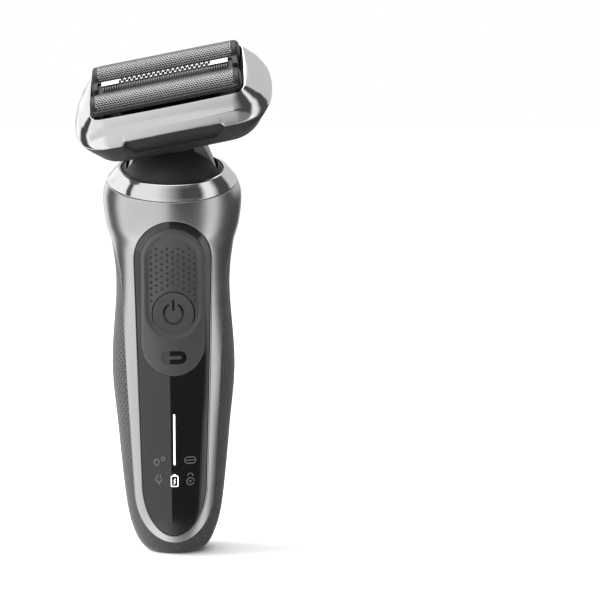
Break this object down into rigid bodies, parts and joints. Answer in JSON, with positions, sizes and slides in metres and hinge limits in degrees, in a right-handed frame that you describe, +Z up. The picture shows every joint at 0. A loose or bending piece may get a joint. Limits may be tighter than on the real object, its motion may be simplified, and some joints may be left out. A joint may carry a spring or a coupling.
{
  "type": "foil shaver",
  "caption": "Cordless foil shaver on a slim upright handle, its foil head tilting on a neck yoke, with a glossy front panel and dimpled power pad.",
  "frame": {"origin": "middle of the charging socket's mouth, in the plane of the flat tail", "axes": "+Z up along the handle, -Y towards the front panel, +X to the right as the panel is looked at"},
  "size_m": [0.0603, 0.0466, 0.1609],
  "materials": {
    "chrome": "polished chrome plating",
    "satin_silver": "satin silver with a fine grain",
    "gloss_black": "high-gloss black",
    "matte_grey": "matte dark grey, dimpled pad",
    "grip_rubber": "soft rubber with fine raised dots",
    "dark_plastic": "satin near-black plastic",
    "foil_steel": "perforated steel foil",
    "blade_steel": "ground steel",
    "light_guide": "clear white light guide",
    "seal_rubber": "plain rubber",
    "inner_plastic": "plain grey moulded plastic",
    "cell_wrap": "shrink wrap",
    "contact_metal": "plated contacts",
    "board_green": "solder mask",
    "motor_steel": "plated steel can",
    "chip_black": "moulded packages"
  },
  "bodies": {
    "handle": {"front_shell": "satin_silver", "back_shell": "grip_rubber", "neck_ring": "chrome", "neck_gasket": "seal_rubber", "front_panel": "gloss_black", "light_bar": "light_guide", "button_pad": "matte_grey", "lock_mark": "gloss_black", "inner_frame": "inner_plastic", "battery_cell": "cell_wrap", "battery_tabs": "contact_metal", "circuit_board": "board_green", "board_chips": "chip_black", "tact_switch": "chip_black", "status_lights": "light_guide", "motor_can": "motor_steel", "motor_mount": "inner_plastic", "motor_bush": "contact_metal", "motor_screws": "blade_steel", "charging_socket": "dark_plastic", "contact_pins": "contact_metal", "yoke": "matte_grey", "neck_dome": "dark_plastic", "lever_pin": "blade_steel"},
    "power_key": {"power_button": "matte_grey", "power_symbol": "gloss_black"},
    "rotor": {"motor_shaft": "blade_steel", "eccentric": "inner_plastic"},
    "lever": {"drive_lever": "blade_steel"},
    "gimbal": {"gimbal": "dark_plastic", "pitch_pins": "blade_steel", "roll_pins": "blade_steel"},
    "head_base": {"head_base": "dark_plastic"},
    "release_key": {"release_button": "matte_grey"},
    "cassette": {"bezel": "chrome", "cassette_frame": "dark_plastic"},
    "bridge": {"drive_bridge": "dark_plastic"},
    "front_shaver": {"front_foil_frame": "dark_plastic", "front_foil": "foil_steel"},
    "front_cutter": {"front_cutter_block": "dark_plastic", "front_cutter_blades": "blade_steel"},
    "rear_shaver": {"rear_foil_frame": "dark_plastic", "rear_foil": "foil_steel"},
    "rear_cutter": {"rear_cutter_block": "dark_plastic", "rear_cutter_blades": "blade_steel"},
    "trimmer": {"trimmer_frame": "dark_plastic", "trimmer_guard": "blade_steel"},
    "trimmer_cutter": {"trimmer_blade": "blade_steel"}
  },
  "joints": [
    {"name": "power_press", "type": "slide", "parent": "handle", "child": "power_key", "axis": [0, 1, 0], "range_m": [0, 0.0008], "stiffness_N_per_m": 500, "springref_m": -0.0002},
    {"name": "motor_spin", "type": "hinge", "parent": "handle", "child": "rotor", "pos_m": [0, 0.00065, 0.1], "axis": [0, 0, 1], "continuous": true},
    {"name": "lever_swing", "type": "hinge", "parent": "handle", "child": "lever", "pos_m": [0, -0.0013, 0.11677], "axis": [0, 0.9511, 0.309], "range_deg": [-2.6, 2.6]},
    {"name": "head_pitch", "type": "hinge", "parent": "handle", "child": "gimbal", "pos_m": [0, -0.00986, 0.14311], "axis": [1, 0, 0], "range_deg": [-31, 1], "stiffness_Nm_per_rad": 0.15, "springref_deg": -15},
    {"name": "head_roll", "type": "hinge", "parent": "gimbal", "child": "head_base", "pos_m": [0, -0.00986, 0.14311], "axis": [0, 0.8387, 0.5446], "range_deg": [-1, 27.6], "stiffness_Nm_per_rad": 0.15, "springref_deg": 13.3},
    {"name": "release_press", "type": "slide", "parent": "head_base", "child": "release_key", "axis": [0, -0.8387, -0.5446], "range_m": [0, 0.001], "stiffness_N_per_m": 500, "springref_m": -0.0002},
    {"name": "cassette_lift", "type": "slide", "parent": "head_base", "child": "cassette", "axis": [-0.2301, -0.53, 0.8162], "range_m": [0, 0.02]},
    {"name": "bridge_stroke", "type": "slide", "parent": "cassette", "child": "bridge", "axis": [0.9732, -0.1253, 0.1929], "range_m": [-0.00122, 0.00122]},
    {"name": "front_float", "type": "slide", "parent": "cassette", "child": "front_shaver", "axis": [0.2301, 0.53, -0.8162], "range_m": [0, 0.0012], "stiffness_N_per_m": 200, "springref_m": -0.0004},
    {"name": "front_stroke", "type": "slide", "parent": "front_shaver", "child": "front_cutter", "axis": [0.9732, -0.1253, 0.1929], "range_m": [-0.00126, 0.00126]},
    {"name": "rear_float", "type": "slide", "parent": "cassette", "child": "rear_shaver", "axis": [0.2301, 0.53, -0.8162], "range_m": [0, 0.0012], "stiffness_N_per_m": 200, "springref_m": -0.0004},
    {"name": "rear_stroke", "type": "slide", "parent": "rear_shaver", "child": "rear_cutter", "axis": [0.9732, -0.1253, 0.1929], "range_m": [-0.00126, 0.00126]},
    {"name": "trimmer_float", "type": "slide", "parent": "cassette", "child": "trimmer", "axis": [0.2301, 0.53, -0.8162], "range_m": [0, 0.0012], "stiffness_N_per_m": 200, "springref_m": -0.0004},
    {"name": "trimmer_stroke", "type": "slide", "parent": "trimmer", "child": "trimmer_cutter", "axis": [0.9732, -0.1253, 0.1929], "range_m": [-0.00126, 0.00126]}
  ],
  "couplings": [
    {"joint": "lever_swing", "follows": "bridge_stroke", "rad_per_m": 37.096},
    {"joint": "front_stroke", "follows": "bridge_stroke", "ratio": 1},
    {"joint": "rear_stroke", "follows": "bridge_stroke", "ratio": 1},
    {"joint": "trimmer_stroke", "follows": "bridge_stroke", "ratio": 1}
  ]
}
